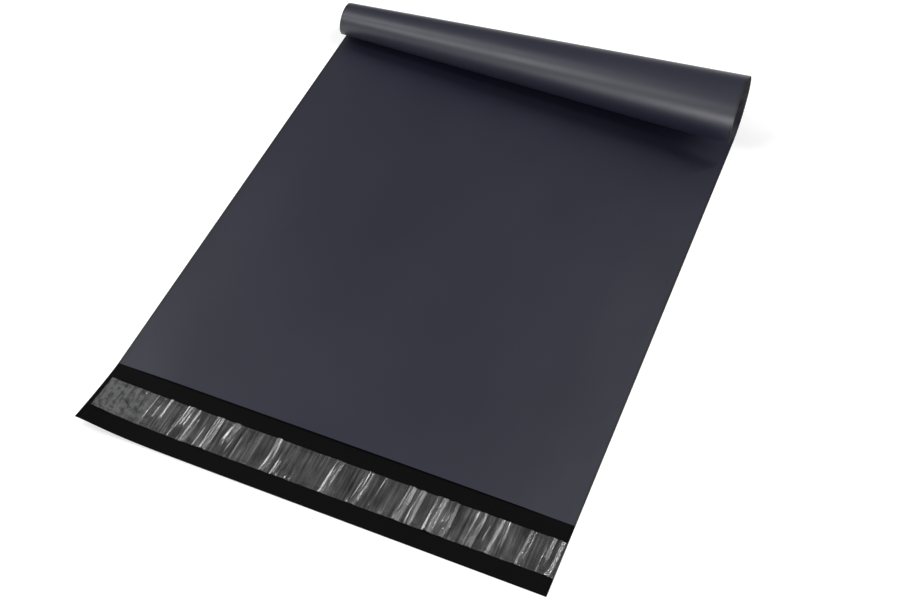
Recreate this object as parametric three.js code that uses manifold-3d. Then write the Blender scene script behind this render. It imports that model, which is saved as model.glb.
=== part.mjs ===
// Poly mailer bag lying on its back panel: flap open towards -Y, far end loosely rolled up at +Y.
// Millimetres, +Z up. X runs across the bag, the origin is under the middle of its bounding box.
import * as THREE from 'three';
import { mergeVertices } from 'three/addons/utils/BufferGeometryUtils.js';
import Module from 'manifold-3d';

const wasm = await Module();
wasm.setup();

// Cut sizes of the bag
const bagWidth = 250;
const pocketLength = 390;
const flapLength = 40;
const filmThickness = 0.06;
const sideWeldWidth = 2;
const bottomCreaseWidth = 2;
const pocketSlack = 0.3;

// Closure strip on the flap
const linerWidth = 20;
const linerThickness = 0.04;
const linerFromMouth = 10;
const linerLeftInset = 3;
const linerRightInset = 0;
const adhesiveThickness = 0.05;
const adhesiveMargin = 2;

// Rolled end
const rolledLength = 112.5;
const rollRadiusLeft = 11.5;
const rollRadiusRight = 23.5;
const radiusLostPerTurn = 0.2;

// Facets
const acrossFacets = 12;
const flatFacets = 3;
const rollFacets = 56;

const rollStart = pocketLength - rolledLength;
const tightening = -Math.log(1 - radiusLostPerTurn) / (2 * Math.PI);

// Point of the bag at the distance u from its centre line, v from its mouth and n above its underside.
// Past rollStart each lengthwise line winds up, in its own plane, on a logarithmic spiral: the radius
// falls evenly along the film, so the turns stay apart, and it grows from the left edge to the right.
function bagPoint(u, v, n) {
  if (v <= rollStart) return [u, v, n];
  const radius = THREE.MathUtils.mapLinear(u, -bagWidth / 2, bagWidth / 2, rollRadiusLeft, rollRadiusRight);
  const turn = -Math.log(1 - (tightening * (v - rollStart)) / radius) / tightening;
  const shrink = Math.exp(-tightening * turn);
  const reach = radius / (1 + tightening ** 2);
  const y = reach * (shrink * (Math.sin(turn) - tightening * Math.cos(turn)) + tightening);
  const z = reach * (1 - shrink * (Math.cos(turn) + tightening * Math.sin(turn)));
  return [u, rollStart + y - n * Math.sin(turn), z + n * Math.cos(turn)];
}

// Evenly spaced stations from start to end, both included
function stations(start, end, count) {
  return Array.from({ length: count + 1 }, (_, i) => THREE.MathUtils.lerp(start, end, i / count));
}

const weldLine = bagWidth / 2 - sideWeldWidth;
const creaseLine = pocketLength - bottomCreaseWidth;
const acrossStations = [-bagWidth / 2, ...stations(-weldLine, weldLine, acrossFacets), bagWidth / 2];
const pocketStations = [
  ...stations(0, rollStart, flatFacets),
  ...stations(rollStart, creaseLine, rollFacets).slice(1),
  pocketLength,
];

// The panels lie on each other in the side welds and at the bottom crease, and part in between.
function panelGap(u, v) {
  const joined = Math.abs(u) >= weldLine || v >= creaseLine;
  return joined ? 0 : pocketSlack;
}

// Closed layer of film over a lattice of stations, between two heights above the bag's underside.
// Both faces are split along the same diagonals, so the film keeps its gauge where the roll twists them.
function filmLayer(alongStations, underside) {
  const rows = alongStations.length;
  const columns = acrossStations.length;
  const positions = [];
  for (const depth of [0, filmThickness]) {
    for (const v of alongStations) {
      for (const u of acrossStations) positions.push(...bagPoint(u, v, underside(u, v) + depth));
    }
  }
  const corner = (face, row, column) => (face * rows + row) * columns + column;
  const triangles = [];
  const addQuad = (a, b, c, d) => triangles.push(a, b, c, a, c, d);
  for (let row = 0; row < rows - 1; row++) {
    for (let column = 0; column < columns - 1; column++) {
      const around = [[row, column], [row, column + 1], [row + 1, column + 1], [row + 1, column]];
      const [a, b, c, d] = around.map((place) => corner(0, ...place));
      addQuad(a, d, c, b);
      addQuad(...around.map((place) => corner(1, ...place)));
    }
  }
  const addRim = (from, to) => addQuad(corner(0, ...from), corner(0, ...to), corner(1, ...to), corner(1, ...from));
  for (let column = 0; column < columns - 1; column++) {
    addRim([0, column], [0, column + 1]);
    addRim([rows - 1, column + 1], [rows - 1, column]);
  }
  for (let row = 0; row < rows - 1; row++) {
    addRim([row + 1, 0], [row, 0]);
    addRim([row, columns - 1], [row + 1, columns - 1]);
  }
  const layer = new THREE.BufferGeometry();
  layer.setAttribute('position', new THREE.Float32BufferAttribute(positions, 3));
  layer.setIndex(triangles);
  return layer;
}

function toSolid(geometry) {
  const merged = mergeVertices(geometry);
  return new wasm.Manifold(new wasm.Mesh({
    numProp: 3,
    vertProperties: Float32Array.from(merged.attributes.position.array),
    triVerts: Uint32Array.from(merged.index.array),
  }));
}

function toGeometry(solid) {
  const mesh = solid.getMesh();
  const geometry = new THREE.BufferGeometry();
  geometry.setAttribute('position', new THREE.Float32BufferAttribute(mesh.vertProperties, 3));
  geometry.setIndex(Array.from(mesh.triVerts));
  geometry.computeVertexNormals();
  return geometry;
}

function piece(name, geometry, finish) {
  const mesh = new THREE.Mesh(geometry, new THREE.MeshStandardMaterial(finish));
  mesh.name = name;
  return mesh;
}

// Back panel with the flap, and the front panel from the mouth on, fused at the sides and the crease
function bagFilm() {
  const back = filmLayer([-flapLength, ...pocketStations], () => 0);
  const front = filmLayer(pocketStations, (u, v) => filmThickness + panelGap(u, v));
  const film = toSolid(back).add(toSolid(front));
  return piece('bag_film', toGeometry(film), { color: 0x3a3942, roughness: 0.5, metalness: 0 });
}

// Flat strip on the inside of the flap, between two distances from the mouth and two side edges
function flapStrip(nearMouth, nearLip, leftEdge, rightEdge, underside, thickness) {
  const strip = new THREE.BoxGeometry(rightEdge - leftEdge, nearLip - nearMouth, thickness);
  return strip.translate((leftEdge + rightEdge) / 2, -(nearMouth + nearLip) / 2, underside + thickness / 2);
}

const linerLeft = -bagWidth / 2 + linerLeftInset;
const linerRight = bagWidth / 2 - linerRightInset;
const linerNearLip = linerFromMouth + linerWidth;

function adhesiveStrip() {
  const nearMouth = linerFromMouth + adhesiveMargin;
  const nearLip = linerNearLip - adhesiveMargin;
  const strip = flapStrip(nearMouth, nearLip, linerLeft, linerRight, filmThickness, adhesiveThickness);
  return piece('adhesive_strip', strip, { color: 0x2b2a28, roughness: 0.3, metalness: 0 });
}

function releaseLiner() {
  const underside = filmThickness + adhesiveThickness;
  const strip = flapStrip(linerFromMouth, linerNearLip, linerLeft, linerRight, underside, linerThickness);
  const finish = { color: 0x8c8c90, roughness: 0.25, metalness: 0, transparent: true, opacity: 0.5 };
  return piece('release_liner', strip, finish);
}

const mailer = new THREE.Group();
mailer.add(bagFilm(), adhesiveStrip(), releaseLiner());
const middle = new THREE.Box3().setFromObject(mailer).getCenter(new THREE.Vector3());
mailer.position.set(-middle.x, -middle.y, 0);

export default mailer;
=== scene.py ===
"""Poly mailer bag of satin film: open flap with a hot-melt band under a clear liner, far end rolled up."""

import math

import bpy
import numpy as np
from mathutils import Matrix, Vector


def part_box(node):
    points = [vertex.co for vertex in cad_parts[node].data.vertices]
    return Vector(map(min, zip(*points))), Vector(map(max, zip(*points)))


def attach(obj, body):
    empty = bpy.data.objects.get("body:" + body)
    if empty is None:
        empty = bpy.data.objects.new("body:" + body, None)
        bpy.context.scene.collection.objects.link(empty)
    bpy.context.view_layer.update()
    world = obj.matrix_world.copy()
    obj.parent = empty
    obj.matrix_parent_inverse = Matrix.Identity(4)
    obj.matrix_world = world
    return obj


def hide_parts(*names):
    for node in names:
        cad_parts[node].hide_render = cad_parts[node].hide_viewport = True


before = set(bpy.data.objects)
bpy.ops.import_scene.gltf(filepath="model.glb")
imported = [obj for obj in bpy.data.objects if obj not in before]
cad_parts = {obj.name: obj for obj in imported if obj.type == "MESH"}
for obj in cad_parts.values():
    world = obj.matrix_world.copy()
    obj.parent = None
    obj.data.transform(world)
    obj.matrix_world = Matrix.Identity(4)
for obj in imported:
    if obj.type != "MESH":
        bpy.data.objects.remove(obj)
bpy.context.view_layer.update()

MM = 0.001

# Bag sizes: what the frame doesn't give is repeated from the part's source
bag_low, bag_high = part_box("bag_film")
WIDTH = bag_high.x - bag_low.x
LIP_Y = bag_low.y
FLAP = 40 * MM
POCKET = 390 * MM
MOUTH_Y = LIP_Y + FLAP
FILM = 0.06 * MM
WELD = 2 * MM
WEB = FLAP + 2 * POCKET

# Rolled end
ROLLED = 112.5 * MM
ROLL_START = POCKET - ROLLED
ROLL_RADIUS_LEFT = 11.5 * MM
ROLL_RADIUS_RIGHT = 23.5 * MM
RADIUS_LOST_PER_TURN = 0.2
TIGHTENING = -math.log(1 - RADIUS_LOST_PER_TURN) / (2 * math.pi)

# Gap between the panels
SLACK = 0.34 * MM
WELD_SLACK = 0.02 * MM
FOLD_SLACK = 0.1 * MM
SLACK_RISE = 30 * MM
MOUTH_GAPE = 0.25 * MM
MOUTH_GAPE_DEPTH = 30 * MM

# Lift of the open flap at its left lip corner and along its lip
CORNER_LIFT = 4.6 * MM
CORNER_SPAN = 20 * MM
CORNER_FALL = 1.5
CORNER_RISE = 1.3
LIP_LIFT = 1.1 * MM
LIP_LIFT_SPAN = 110 * MM
LIP_RISE = 1.6
DEEPEST_SHARE = 1.05

# Slow swells of the front panel
WAVE = 0.12 * MM
WAVE_ACROSS = 31 * MM
WAVE_ALONG = 47 * MM
WAVE_SHIFT = 0.9
WAVE_WANDER = 1.3
WAVE_WANDER_LENGTH = 83 * MM
SLANT_SHARE = 0.6
SLANT_ALONG = 29 * MM
SLANT_ACROSS = 52 * MM

# Puckers beside the welds
PUCKER = 0.12 * MM
PUCKER_PITCH = 7 * MM
PUCKER_WANDER = 2.2
PUCKER_WANDER_LENGTH = 23 * MM
PUCKER_FROM_EDGE = 3 * MM
PUCKER_DEPTH = 6 * MM

# Grid of the film web
WEB_COLUMNS = 108
FLAP_ROWS = 24
FLAT_ROWS = 48
ROLL_ROWS = 110
FOLD_ROWS = 6

# Closure strip
liner_low, liner_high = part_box("release_liner")
band_low, band_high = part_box("adhesive_strip")
LINER = liner_high.z - liner_low.z
LINER_CLEARANCE = 0.004 * MM
LINER_COLUMNS = 1500
LINER_ROWS = 28
BAND = band_high.z - band_low.z
BAND_CLEARANCE = 0.002 * MM
BAND_COLUMNS = 160
BAND_ROWS = 12

# Wavy edges of the adhesive band
EDGE_WAVE = 0.35 * MM
EDGE_LONG_WAVE = 6.1 * MM
EDGE_SHORT_WAVE = 2.3 * MM
EDGE_SHORT_SHARE = 0.7
EDGE_SHORT_SHIFT = 1.0

# Buckled liner: ridges across the strip, each from a start to an end as shares of its depth from the lip
LINER_SEED = 41
LINER_RIDGES = {
    "tunnels": {
        "count": 36,
        "half_width": (0.7 * MM, 1.6 * MM),
        "steepness": (0.18, 0.65),
        "starts": (-0.4, -0.4, -0.4, 0.2),
        "ends": (1.4, 1.4, 1.4, 0.8),
    },
    "creases": {
        "count": 42,
        "half_width": (0.3 * MM, 0.55 * MM),
        "steepness": (0.1, 0.45),
        "starts": (-0.4, -0.4, 0.1, 0.4),
        "ends": (1.4, 1.4, 0.9, 0.6),
    },
    "wrinkles": {
        "count": 50,
        "half_width": (0.3 * MM, 0.5 * MM),
        "steepness": (0.15, 0.5),
        "starts": (-0.4,),
        "ends": (0.15, 0.25, 0.35),
    },
}
RIDGE_EVENNESS = 2.0
RIDGE_LEAN = 1.4 * MM
RIDGE_LEAN_SPREAD = 0.5 * MM
RIDGE_BOW = 0.25 * MM
RIDGE_FADE = 0.25
CALM_END = 0.3
CALM_SPAN = 38 * MM

# Slow swell of the liner and its curled left end
LINER_SWELL = 0.1 * MM
SWELL_LENGTH = 2.6 * MM
SWELL_WANDER_LENGTH = 13.3 * MM
SWELL_BEAT_LENGTH = 17.1 * MM
SWELL_SLANT = 2
LINER_CURL = 0.9 * MM
LINER_CURL_SPAN = 5 * MM

# Finishes: colours are linear, a noise is its period across, its period along and its detail,
# a relief is its strength and its depth
SHEET_UV = "sheet"
SHARP_EDGE = 50
OUTSIDE_FILM = {
    "tone": (0.012, 0.012, 0.029),
    "deep_tone": (0.011, 0.011, 0.0265),
    "weld_tone": (0.003, 0.003, 0.004),
    "roughness": 0.42,
    "specular": 0.72,
}
INSIDE_FILM = {
    "tone": (0.0026, 0.0026, 0.0026),
    "deep_tone": (0.0021, 0.0021, 0.0021),
    "weld_tone": (0.0012, 0.0012, 0.0012),
    "roughness": 0.6,
    "specular": 0.06,
}
FILM_MOTTLE = (55 * MM, 90 * MM, 3.0)
FILM_DIE_LINES = (1.6 * MM, 350 * MM, 1.0)
FILM_PEEL = (1.1 * MM, 1.4 * MM, 2.0)
FILM_SHADE_RANGE = (0.12, 0.4)
FILM_GLOSS_RANGE = (0.3, 0.7)
FILM_GLOSS_SPREAD = 0.03
FILM_RELIEF = (0.35, 0.02 * MM)
WELD_LINE_START = 1.5 * MM
WELD_LINE_FULL = 0.9 * MM
BAND_RIPPLE = (4 * MM, 2.2 * MM, 2.0)
BAND_TONES = ((0.006, 0.006, 0.0058), (0.016, 0.0155, 0.015))
BAND_RELIEF = (0.4, 0.05 * MM)
BAND_ROUGHNESS = 0.3
LINER_PATCHES = (7 * MM, 16 * MM, 3.0)
LINER_STREAKS = (1.4 * MM, 40 * MM, 2.0)
LINER_SPECKS = (2.1 * MM, 2.8 * MM, 2.0)
LINER_SPECK_RANGE = (0.35, 0.65)
LINER_SPECK_SHARES = (0.1, 1.9)
HAZY_END = 0.16
HAZY_END_SPAN = 45 * MM
LINER_HAZE_RANGE = (0.1, 0.42)
LINER_TONES = ((0.1, 0.1, 0.1), (0.78, 0.78, 0.79))
LINER_CRINKLE = (0.9 * MM, 2 * MM, 3.0)
LINER_RELIEF = (0.4, 0.06 * MM)
LINER_ROUGHNESS = 0.14
LINER_IOR = 1.5
LINER_CLEARNESS = 0.9

# Colour sockets of the mix node
MIX_FIRST = 6
MIX_SECOND = 7
MIX_RESULT = 2

# Floor
FLOOR_HALF = 6.0
FLOOR_DROP = 0.05 * MM
FLOOR_GREY = 0.85
FLOOR_LIFT = 0.38

# Soft lights: direction from the aim, aim, width and height, radiance
LIGHT_DISTANCE = 1.3
BAG_MIDDLE = (0, 0, 0)
ROLL_FRONT = (0, 0.13, 0)
LIGHTS = {
    "right_box": ((0.64, 0.32, 0.70), BAG_MIDDLE, (0.6, 0.6), 2.4),
    "left_box": ((-0.92, 0.10, 0.38), BAG_MIDDLE, (0.6, 0.5), 2.0),
    "right_strip": ((0.42, 0.44, 0.79), BAG_MIDDLE, (0.06, 0.9), 28.0),
    "left_strip": ((-0.82, 0.39, 0.42), BAG_MIDDLE, (0.06, 0.9), 13.0),
    "front_low_box": ((0.0, -0.99, 0.12), ROLL_FRONT, (0.4, 0.26), 17.0),
    "front_middle_box": ((-0.42, -0.66, 0.62), ROLL_FRONT, (0.32, 0.32), 12.0),
    "front_high_box": ((-0.56, -0.20, 0.80), ROLL_FRONT, (0.25, 0.25), 13.0),
}
WORLD_STRENGTH = 0.25
WHITE = (1, 1, 1, 1)

# Camera of the main view: place, tilt from straight down, heading, lens and reach
CAMERA_PLACE = (0.200544, -0.466674, 0.595061)
CAMERA_TILT = 38.737
CAMERA_HEADING = 22.596
CAMERA_LENS = 57.033
CAMERA_REACH = 50
SENSOR_WIDTH = 36


def smooth_step(value):
    """Rises from 0 at 0 to 1 at 1 as 3t² - 2t³, flat outside."""
    t = np.clip(value, 0, 1)
    return t * t * (3 - 2 * t)


def rolled_place(u, v, n):
    """Place of a film point: u off the centre line, v past the mouth and n above the underside.

    Up to the roll it lies flat. Past it, the line of constant u winds up in its own plane on a spiral whose
    radius falls evenly along the film: turn = -ln(1 - c s / r) / c for the length s past the start, and n is
    measured along the spiral's inward normal. The radius r at the start grows evenly from left to right.
    """
    radius = ROLL_RADIUS_LEFT + (ROLL_RADIUS_RIGHT - ROLL_RADIUS_LEFT) * (u / WIDTH + 0.5)
    length = np.maximum(v - ROLL_START, 0)
    turn = -np.log(1 - TIGHTENING * length / radius) / TIGHTENING
    shrink = np.exp(-TIGHTENING * turn)
    reach = radius / (1 + TIGHTENING**2)
    along = reach * (shrink * (np.sin(turn) - TIGHTENING * np.cos(turn)) + TIGHTENING)
    up = reach * (1 - shrink * (np.cos(turn) + TIGHTENING * np.sin(turn)))
    y = MOUTH_Y + np.minimum(v, ROLL_START) + along - n * np.sin(turn)
    return np.stack([u + 0 * v, y, up + n * np.cos(turn)], axis=-1)


def flap_lift(u, v):
    """Height of the open flap: its left lip corner curls up in a bell of the distance from the left edge,
    and the left half of the lip rises a little, both growing from the mouth as a power of the depth."""
    depth = np.clip(-v / FLAP, 0, DEEPEST_SHARE)
    from_left = np.maximum(u + WIDTH / 2, 0)
    corner = CORNER_LIFT * np.exp(-((from_left / CORNER_SPAN) ** CORNER_FALL)) * depth**CORNER_RISE
    lip = LIP_LIFT * np.exp(-from_left / LIP_LIFT_SPAN) * depth**LIP_RISE
    return corner + lip


def panel_slack(u, v):
    """Gap between the two panels: nearly closed in the side welds, rising to the slack inside them, smaller
    at the bottom fold and gaping a little wider in the middle of the mouth."""
    inside = smooth_step((WIDTH / 2 - WELD - np.abs(u)) / SLACK_RISE)
    gape = MOUTH_GAPE * np.clip(1 - v / MOUTH_GAPE_DEPTH, 0, 1) ** 2 * np.cos(math.pi * u / WIDTH)
    far_end = FOLD_SLACK + (SLACK - FOLD_SLACK) * smooth_step((POCKET - v) / SLACK_RISE)
    return WELD_SLACK + inside * (far_end + gape)


def panel_waves(u, v):
    """Slow swells of the front panel and small puckers beside the welds, as heights: sums of sines, the
    puckers in a bell of the distance from a line along the weld."""
    wander = WAVE_WANDER * np.sin(v / WAVE_WANDER_LENGTH)
    swell = np.sin(u / WAVE_ACROSS + wander) * np.sin(v / WAVE_ALONG + WAVE_SHIFT)
    swell = swell + SLANT_SHARE * np.sin(v / SLANT_ALONG - u / SLANT_ACROSS)
    edge = WIDTH / 2 - np.abs(u)
    wander = PUCKER_WANDER * np.sin(v / PUCKER_WANDER_LENGTH)
    pucker = np.sin(2 * math.pi * v / PUCKER_PITCH + wander + np.sign(u))
    pucker = pucker * np.exp(-(((edge - PUCKER_FROM_EDGE) / PUCKER_DEPTH) ** 2))
    slow = WAVE * (1 + swell / (1 + SLANT_SHARE)) * smooth_step((edge - WELD / 2) / SLACK_RISE)
    return slow + PUCKER * (0.5 + 0.5 * pucker) * smooth_step(edge / (2 * WELD))


def film_layer_rows():
    """Rows of the web from lip to mouth: the distance v past the mouth, the share of the way round the fold
    (0 on the back panel, 1 on the front panel) and the length along the web."""
    flap = np.linspace(-FLAP, 0, FLAP_ROWS, endpoint=False)
    flat = np.linspace(0, ROLL_START, FLAT_ROWS, endpoint=False)
    roll = np.linspace(ROLL_START, POCKET, ROLL_ROWS)
    back = np.concatenate([flap, flat, roll])
    fold = np.full(FOLD_ROWS, POCKET)
    front = np.concatenate([flat, roll])[::-1]
    v = np.concatenate([back, fold, front])
    turned = np.concatenate([0 * back, np.arange(1, FOLD_ROWS + 1) / (FOLD_ROWS + 1), 0 * front + 1])
    length = np.concatenate([back + FLAP, fold + FLAP, FLAP + 2 * POCKET - front])
    return v[:, None], turned[:, None], length


def film_faces():
    """Inside and outside faces of the web. Its middle runs along the back panel, round a half circle of the
    fold's radius and back along the front panel; each face lies half a gauge off it, square to the web."""
    v, turned, length = film_layer_rows()
    u = np.linspace(-WIDTH / 2, WIDTH / 2, WEB_COLUMNS + 1)[None, :]
    angle = math.pi * (turned - 0.5)
    apart = FILM + panel_slack(u, v)
    front_height = panel_waves(u, v) * (turned == 1)
    fold_radius = apart / 2
    near_fold = smooth_step((v - POCKET + SLACK_RISE) / SLACK_RISE)
    middle_v = v + fold_radius * (np.cos(angle) - 1) * near_fold
    middle_n = FILM / 2 + fold_radius * (1 + np.sin(angle)) + front_height
    faces = []
    for side in (-1, 1):
        face_v = middle_v + side * FILM / 2 * np.cos(angle)
        face_n = middle_n + side * FILM / 2 * np.sin(angle)
        face = rolled_place(u, face_v, face_n)
        face[..., 2] += flap_lift(u, face_v)
        faces.append(face)
    across = np.broadcast_to(u / WIDTH + 0.5, v.shape[:1] + u.shape[1:])
    along = np.broadcast_to((length / WEB)[:, None], across.shape)
    return faces[0], faces[1], np.stack([across, along], axis=-1)


def closed_sheet(name, upper, lower, sheet_uv, finishes):
    """Closed mesh of a thin sheet from two grids of points: quads over both faces, and a rim of quads along
    their common border. The second finish, where there is one, is that of the lower face and the rim."""
    rows, columns = upper.shape[:2]
    number = np.arange(2 * rows * columns).reshape(2, rows, columns)
    corners = [number[:, :-1, :-1], number[:, :-1, 1:], number[:, 1:, 1:], number[:, 1:, :-1]]
    cells = np.stack(corners, axis=-1)
    top = cells[0].reshape(-1, 4)
    bottom = cells[1].reshape(-1, 4)[:, ::-1]
    sides = [number[:, 0, :], number[:, 1:, -1], number[:, -1, -2::-1], number[:, -2:0:-1, 0]]
    border = np.concatenate(sides, axis=1)
    ahead = np.roll(border, -1, axis=1)
    rim = np.stack([border[1], ahead[1], ahead[0], border[0]], axis=-1)
    quads = np.concatenate([top, bottom, rim])
    mesh = bpy.data.meshes.new(name)
    mesh.from_pydata(np.concatenate([upper, lower]).reshape(-1, 3).tolist(), [], quads.tolist())
    corner_uv = np.tile(sheet_uv.reshape(-1, 2), (2, 1))[quads.ravel()]
    mesh.uv_layers.new(name=SHEET_UV).data.foreach_set("uv", corner_uv.astype(np.float32).ravel())
    for finish in finishes:
        mesh.materials.append(finish)
    kind = np.zeros(len(quads), np.int32)
    kind[len(top):] = len(finishes) - 1
    mesh.polygons.foreach_set("material_index", kind)
    mesh.polygons.foreach_set("use_smooth", np.ones(len(quads), bool))
    mesh.set_sharp_from_angle(angle=math.radians(SHARP_EDGE))
    mesh.update()
    piece = bpy.data.objects.new(name, mesh)
    bpy.context.scene.collection.objects.link(piece)
    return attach(piece, "root")


def flap_grid(low, high, columns, rows):
    """Grid over a strip on the flap: places across and past the mouth, and its UV from corner to corner."""
    x = np.linspace(low.x, high.x, columns + 1)[None, :]
    y = np.linspace(low.y, high.y, rows + 1)[:, None]
    u, v = np.broadcast_arrays(x, y - MOUTH_Y)
    across, along = np.broadcast_arrays((x - low.x) / (high.x - low.x), (y - low.y) / (high.y - low.y))
    return u, v, np.stack([across, along], axis=-1)


def strip_faces(u, v, height, thickness):
    """Upper and lower face of a strip at a height above the flap's inside, following the flap's lift."""
    base = FILM + flap_lift(u, v) + height
    y = MOUTH_Y + v
    return np.stack([u, y, base + thickness], axis=-1), np.stack([u, y, base], axis=-1)


def crossing_ridges(u, depth, seeds, kind):
    """Height of one kind of ridge, a sum of bells: height · exp(-((u - line) / half width)²).

    Each line crosses the strip at a random gap from the last, leaning and bowed a little, and its bell fades
    out at both ends of its stretch of the depth. Its height is its steepness times its half width, less
    towards the strip's left end.
    """
    count = kind["count"]
    shape = (count, 1, 1)
    gaps = np.cumsum(seeds.gamma(RIDGE_EVENNESS, 1.0, count + 1))
    place = liner_low.x + (liner_high.x - liner_low.x) * gaps[:-1] / gaps[-1]
    half_width = seeds.uniform(*kind["half_width"], count)
    calm = CALM_END + (1 - CALM_END) * smooth_step((place - liner_low.x) / CALM_SPAN)
    height = calm * half_width * seeds.uniform(*kind["steepness"], count)
    lean = seeds.normal(RIDGE_LEAN, RIDGE_LEAN_SPREAD, count)
    bow = seeds.normal(0, RIDGE_BOW, count)
    start = seeds.choice(kind["starts"], count)
    end = seeds.choice(kind["ends"], count)
    place, half_width, height, lean, bow, start, end = (
        row.reshape(shape) for row in (place, half_width, height, lean, bow, start, end)
    )
    line = place + lean * (depth - 0.5) + bow * np.sin(math.pi * depth)
    stretch = smooth_step((depth - start) / RIDGE_FADE) * smooth_step((end - depth) / RIDGE_FADE)
    return np.sum(height * stretch * np.exp(-(((u - line) / half_width) ** 2)), axis=0)


def liner_tunnels(u, v):
    """Height of the liner off the adhesive: it buckles into tunnels across its width, with sharper creases
    between them and short wrinkles along its lip edge, all on a slow swell, and its left end curls up."""
    seeds = np.random.default_rng(LINER_SEED)
    depth = (v + MOUTH_Y - liner_low.y) / (liner_high.y - liner_low.y)
    ridges = sum(crossing_ridges(u, depth, seeds, kind) for kind in LINER_RIDGES.values())
    swell = np.sin(u / SWELL_LENGTH + np.sin(u / SWELL_WANDER_LENGTH))
    swell = swell * np.sin(u / SWELL_BEAT_LENGTH + SWELL_SLANT * depth)
    end_curl = LINER_CURL * np.exp(-(u - liner_low.x) / LINER_CURL_SPAN)
    return ridges + LINER_SWELL * (1 + swell) + end_curl


def add_node(tree, kind, inputs=None, **settings):
    """Adds a node, sets its properties, and gives each named input a value or a link."""
    node = tree.nodes.new(kind)
    for name, value in settings.items():
        setattr(node, name, value)
    for name, value in (inputs or {}).items():
        if isinstance(value, bpy.types.NodeSocket):
            tree.links.new(value, node.inputs[name])
        else:
            node.inputs[name].default_value = value
    return node


def new_finish(name):
    """Material with an empty tree but for its output."""
    finish = bpy.data.materials.new(name)
    finish.use_nodes = True
    finish.node_tree.nodes.clear()
    output = finish.node_tree.nodes.new("ShaderNodeOutputMaterial")
    return finish, finish.node_tree, output


def sheet_metres(tree, width, length):
    """The sheet's own UV as metres across and along it."""
    uv = add_node(tree, "ShaderNodeUVMap", uv_map=SHEET_UV)
    inputs = {"Vector": uv.outputs["UV"], "Scale": (width, length, 1)}
    return add_node(tree, "ShaderNodeMapping", inputs).outputs["Vector"]


def noise(tree, place, across, along, detail):
    """Noise over a place in metres with its own period across and along, in metres."""
    stretch = {"Vector": place, "Scale": (1 / across, 1 / along, 1)}
    stretched = add_node(tree, "ShaderNodeMapping", stretch).outputs["Vector"]
    inputs = {"Vector": stretched, "Scale": 1.0, "Detail": detail}
    return add_node(tree, "ShaderNodeTexNoise", inputs).outputs["Fac"]


def calculate(tree, operation, *values):
    """Result of one operation on sockets or numbers."""
    return add_node(tree, "ShaderNodeMath", dict(enumerate(values)), operation=operation).outputs["Value"]


def ramp(tree, value, low, high, out_low, out_high, smooth=False):
    """Value mapped from one range to another, held at its ends."""
    kind = "SMOOTHSTEP" if smooth else "LINEAR"
    inputs = {"Value": value, "From Min": low, "From Max": high, "To Min": out_low, "To Max": out_high}
    return add_node(tree, "ShaderNodeMapRange", inputs, interpolation_type=kind).outputs["Result"]


def blend_colours(tree, share, first, second):
    """Colour mixed from first to second by a share."""
    node = add_node(tree, "ShaderNodeMix", {"Factor": share}, data_type="RGBA")
    for socket, colour in ((node.inputs[MIX_FIRST], first), (node.inputs[MIX_SECOND], second)):
        if isinstance(colour, bpy.types.NodeSocket):
            tree.links.new(colour, socket)
        else:
            socket.default_value = (*colour, 1)
    return node.outputs[MIX_RESULT]


def relief_normal(tree, height, strength, depth):
    """Normal bent by a height."""
    inputs = {"Height": height, "Strength": strength, "Distance": depth}
    return add_node(tree, "ShaderNodeBump", inputs).outputs["Normal"]


def set_surface(tree, output, inputs):
    """Gives the material a principled surface with these inputs."""
    shader = add_node(tree, "ShaderNodeBsdfPrincipled", inputs)
    tree.links.new(shader.outputs["BSDF"], output.inputs["Surface"])


def film_finish(name, look):
    """Satin blown film: faint mottling, fine die lines along the web and a slight orange peel. The side
    welds are narrow dark melted lines."""
    finish, tree, output = new_finish(name)
    place = sheet_metres(tree, WIDTH, WEB)
    mottle = noise(tree, place, *FILM_MOTTLE)
    die_lines = noise(tree, place, *FILM_DIE_LINES)
    peel = noise(tree, place, *FILM_PEEL)
    shade = ramp(tree, calculate(tree, "MULTIPLY", mottle, die_lines), *FILM_SHADE_RANGE, 0, 1)
    body = blend_colours(tree, shade, look["deep_tone"], look["tone"])
    across = add_node(tree, "ShaderNodeSeparateXYZ", {"Vector": place}).outputs["X"]
    off_middle = calculate(tree, "ABSOLUTE", calculate(tree, "SUBTRACT", across, WIDTH / 2))
    from_edge = calculate(tree, "SUBTRACT", WIDTH / 2, off_middle)
    weld = ramp(tree, from_edge, WELD_LINE_FULL, WELD_LINE_START, 1, 0, smooth=True)
    smoothest = look["roughness"] - FILM_GLOSS_SPREAD
    roughest = look["roughness"] + FILM_GLOSS_SPREAD
    surface = {
        "Base Color": blend_colours(tree, weld, body, look["weld_tone"]),
        "Roughness": ramp(tree, mottle, *FILM_GLOSS_RANGE, smoothest, roughest),
        "Specular IOR Level": look["specular"],
        "Normal": relief_normal(tree, calculate(tree, "ADD", peel, die_lines), *FILM_RELIEF),
    }
    set_surface(tree, output, surface)
    return finish


def adhesive_finish():
    """Clear hot melt on the black film: nearly black, glossy, with a slightly rippled surface."""
    finish, tree, output = new_finish("hot_melt")
    place = sheet_metres(tree, band_high.x - band_low.x, band_high.y - band_low.y)
    ripple = noise(tree, place, *BAND_RIPPLE)
    surface = {
        "Base Color": blend_colours(tree, ripple, *BAND_TONES),
        "Roughness": BAND_ROUGHNESS,
        "Normal": relief_normal(tree, ripple, *BAND_RELIEF),
    }
    set_surface(tree, output, surface)
    return finish


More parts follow.
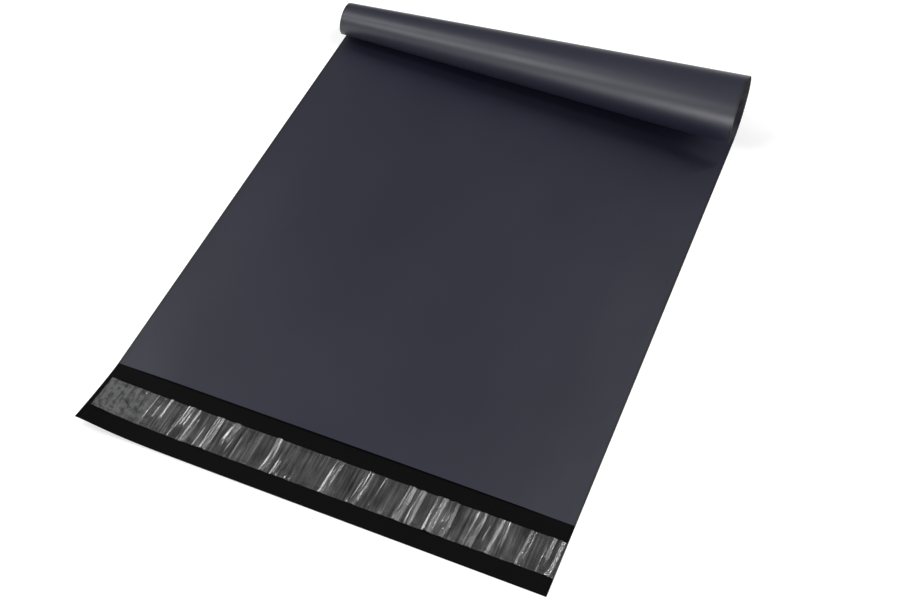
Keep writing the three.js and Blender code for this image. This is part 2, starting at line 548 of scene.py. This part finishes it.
def liner_finish():
    """Clear release film gone hazy: mostly lets the black flap through, with patchy haze, streaks across the
    strip, a speckled hazy left end and glossy crinkles."""
    finish, tree, output = new_finish("clear_liner")
    place = sheet_metres(tree, liner_high.x - liner_low.x, liner_high.y - liner_low.y)
    patches = noise(tree, place, *LINER_PATCHES)
    streaks = noise(tree, place, *LINER_STREAKS)
    along = add_node(tree, "ShaderNodeSeparateXYZ", {"Vector": place}).outputs["X"]
    left_end = ramp(tree, along, 0, HAZY_END_SPAN, HAZY_END, 0, smooth=True)
    specks = ramp(tree, noise(tree, place, *LINER_SPECKS), *LINER_SPECK_RANGE, *LINER_SPECK_SHARES)
    speckled_end = calculate(tree, "MULTIPLY", left_end, specks)
    haze = calculate(tree, "ADD", calculate(tree, "MULTIPLY", patches, streaks), speckled_end)
    surface = {
        "Base Color": blend_colours(tree, ramp(tree, haze, *LINER_HAZE_RANGE, 0, 1), *LINER_TONES),
        "Roughness": LINER_ROUGHNESS,
        "IOR": LINER_IOR,
        "Transmission Weight": LINER_CLEARNESS,
        "Normal": relief_normal(tree, noise(tree, place, *LINER_CRINKLE), *LINER_RELIEF),
    }
    set_surface(tree, output, surface)
    return finish


def make_bag():
    """The film web as one folded sheet, black inside and charcoal outside."""
    outside = film_finish("charcoal_film", OUTSIDE_FILM)
    inside = film_finish("black_film_inside", INSIDE_FILM)
    inner, outer, web_uv = film_faces()
    bag = closed_sheet("mailer_film", inner, outer, web_uv, [inside, outside])
    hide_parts("bag_film")


def make_adhesive():
    """Band of hot melt with slightly wavy edges: each row is drawn in towards the band's middle by a sum of
    sines along it, times the square of its share of the way to the edge."""
    u, v, share = flap_grid(band_low, band_high, BAND_COLUMNS, BAND_ROWS)
    off_middle = v - ((band_low.y + band_high.y) / 2 - MOUTH_Y)
    wave = np.sin(u / EDGE_LONG_WAVE) + EDGE_SHORT_SHARE * np.sin(u / EDGE_SHORT_WAVE + EDGE_SHORT_SHIFT)
    drawn_in = EDGE_WAVE * (1 + wave / 2) * (off_middle / np.max(np.abs(off_middle))) ** 2
    upper, lower = strip_faces(u, v - np.sign(off_middle) * drawn_in, BAND_CLEARANCE, BAND)
    band = closed_sheet("adhesive_band", upper, lower, share, [adhesive_finish()])
    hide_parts("adhesive_strip")
    return band


def make_liner(band):
    """Crinkled clear liner over the adhesive."""
    u, v, share = flap_grid(liner_low, liner_high, LINER_COLUMNS, LINER_ROWS)
    upper, lower = strip_faces(u, v, BAND + LINER_CLEARANCE + liner_tunnels(u, v), LINER)
    liner = closed_sheet("liner_film", upper, lower, share, [liner_finish()])
    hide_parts("release_liner")


def make_floor():
    """Plain white floor. Seen directly it is lifted to paper white, and it keeps the bag's shadow."""
    mesh = bpy.data.meshes.new("floor")
    corner_signs = [(-1, -1), (1, -1), (1, 1), (-1, 1)]
    corners = [(x * FLOOR_HALF, y * FLOOR_HALF, -FLOOR_DROP) for x, y in corner_signs]
    mesh.from_pydata(corners, [], [(0, 1, 2, 3)])
    finish, tree, output = new_finish("white_floor")
    path = add_node(tree, "ShaderNodeLightPath").outputs
    seen = calculate(tree, "MAXIMUM", path["Is Camera Ray"], path["Is Glossy Ray"])
    seen = calculate(tree, "MAXIMUM", seen, path["Is Transmission Ray"])
    lift = ramp(tree, seen, 0, 1, 0, FLOOR_LIFT)
    paper = add_node(tree, "ShaderNodeBsdfDiffuse", {"Color": (FLOOR_GREY, FLOOR_GREY, FLOOR_GREY, 1)})
    glow = add_node(tree, "ShaderNodeEmission", {"Color": WHITE, "Strength": lift})
    both = add_node(tree, "ShaderNodeAddShader", {0: paper.outputs["BSDF"], 1: glow.outputs["Emission"]})
    tree.links.new(both.outputs["Shader"], output.inputs["Surface"])
    mesh.materials.append(finish)
    floor = bpy.data.objects.new("floor", mesh)
    bpy.context.scene.collection.objects.link(floor)


def soft_light(name, direction, aim, size, radiance):
    """Rectangular soft light facing its aim from a direction. Its power is radiance · π · area."""
    lamp = bpy.data.lights.new(name, "AREA")
    lamp.shape = "RECTANGLE"
    lamp.size, lamp.size_y = size
    lamp.energy = radiance * math.pi * size[0] * size[1]
    light = bpy.data.objects.new(name, lamp)
    away = Vector(direction).normalized()
    light.location = Vector(aim) + LIGHT_DISTANCE * away
    light.rotation_euler = away.to_track_quat("Z", "Y").to_euler()
    bpy.context.scene.collection.objects.link(light)


def make_lights():
    """Soft studio light: a box and a narrow strip on each side, which draw the streaks of the liner, three
    boxes in front, which draw the bright ridge of the roll, and an even world."""
    for name, light in LIGHTS.items():
        soft_light(name, *light)
    world = bpy.data.worlds.new("studio")
    bpy.context.scene.world = world
    world.use_nodes = True
    background = world.node_tree.nodes["Background"]
    background.inputs["Color"].default_value = WHITE
    background.inputs["Strength"].default_value = WORLD_STRENGTH


def make_camera():
    """Camera at the view's place, looking down along the bag."""
    camera = bpy.data.cameras.new("camera")
    camera.sensor_width = SENSOR_WIDTH
    camera.lens = CAMERA_LENS
    camera.clip_end = CAMERA_REACH
    viewer = bpy.data.objects.new("camera", camera)
    viewer.location = CAMERA_PLACE
    viewer.rotation_euler = (math.radians(CAMERA_TILT), 0, math.radians(CAMERA_HEADING))
    bpy.context.scene.collection.objects.link(viewer)
    bpy.context.scene.camera = viewer


bpy.context.scene.view_settings.view_transform = "Standard"
make_camera()
make_lights()
make_floor()
make_bag()
make_liner(make_adhesive())
